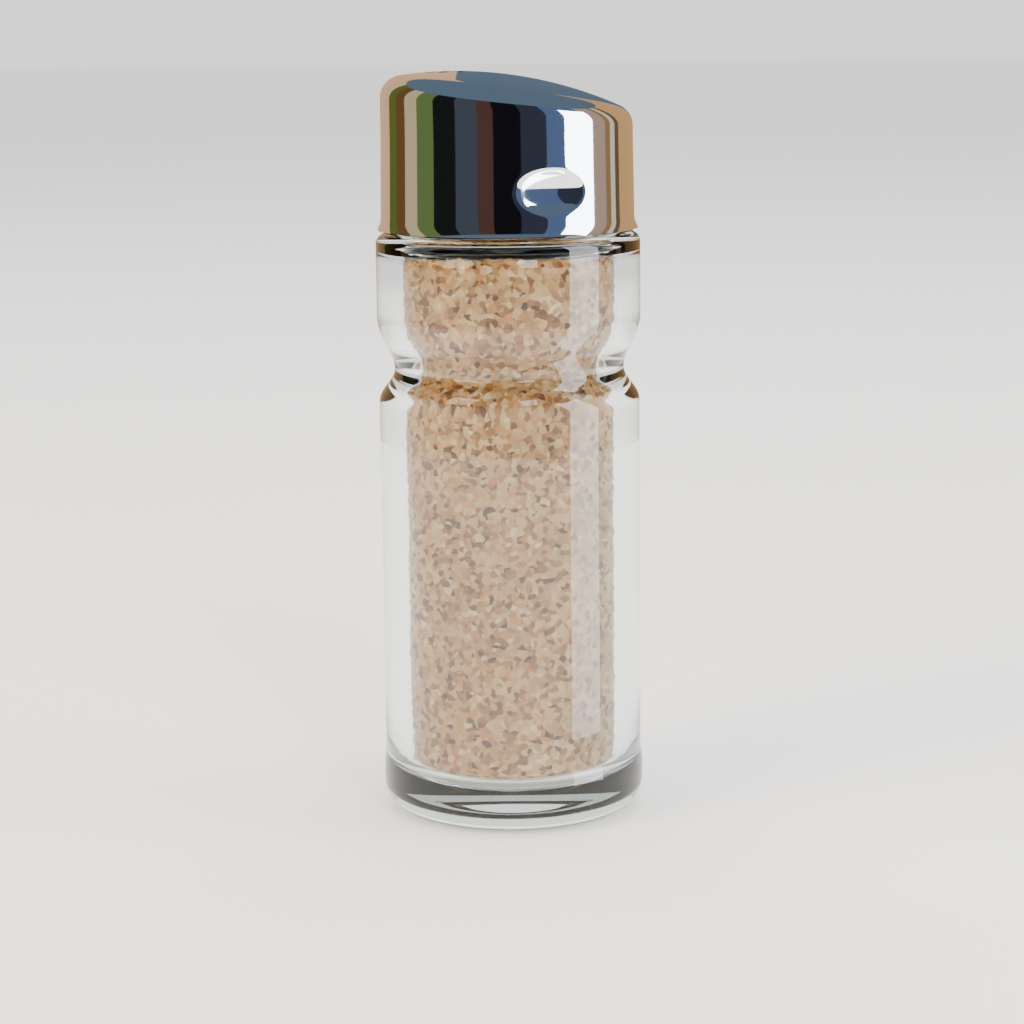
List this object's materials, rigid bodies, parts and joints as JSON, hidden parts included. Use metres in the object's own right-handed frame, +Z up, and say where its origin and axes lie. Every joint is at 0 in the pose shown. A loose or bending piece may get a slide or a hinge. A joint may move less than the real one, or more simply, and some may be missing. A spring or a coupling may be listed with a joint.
{
  "type": "spice jar",
  "caption": "Small glass spice jar with a waist groove and a chromed slant-topped cap that screws on and turns to open its sifter.",
  "frame": {"origin": "centre of the circle that the jar stands on, at table height", "axes": "+Z up along the jar's axis; +X to the right in the picture and -Y towards its camera; the cap's top slants down towards +X turned 20 degrees towards +Y"},
  "size_m": [0.032, 0.032, 0.09],
  "materials": {
    "clear_glass": "clear moulded soda-lime glass, faintly green in the thick base",
    "ground_spice": null,
    "white_liner": "foamed polyethylene seal",
    "dark_plastic": "dark moulded polypropylene",
    "bright_chrome": "bright mirror plating on a moulded shell",
    "pale_plastic": "natural moulded polypropylene"
  },
  "bodies": {
    "jar": {"glass_bottle": "clear_glass", "spice_fill": "ground_spice"},
    "seal": {"seal_liner": "white_liner"},
    "closure": {"inner_cap": "dark_plastic"},
    "sifter": {"sifter_shell": "bright_chrome", "pour_chute": "pale_plastic"}
  },
  "joints": [
    {"name": "cap_rise", "type": "slide", "parent": "jar", "child": "seal", "axis": [0, 0, 1], "range_m": [0, 0.012]},
    {"name": "cap_unscrew", "type": "hinge", "parent": "seal", "child": "closure", "pos_m": [0, 0, 0.0759], "axis": [0, 0, 1], "range_deg": [0, 1080]},
    {"name": "sifter_turn", "type": "hinge", "parent": "closure", "child": "sifter", "pos_m": [0, 0, 0.0814], "axis": [0, 0, 1], "range_deg": [0, 90]}
  ],
  "couplings": [
    {"joint": "cap_rise", "follows": "cap_unscrew", "m_per_rad": 0.0006366}
  ]
}
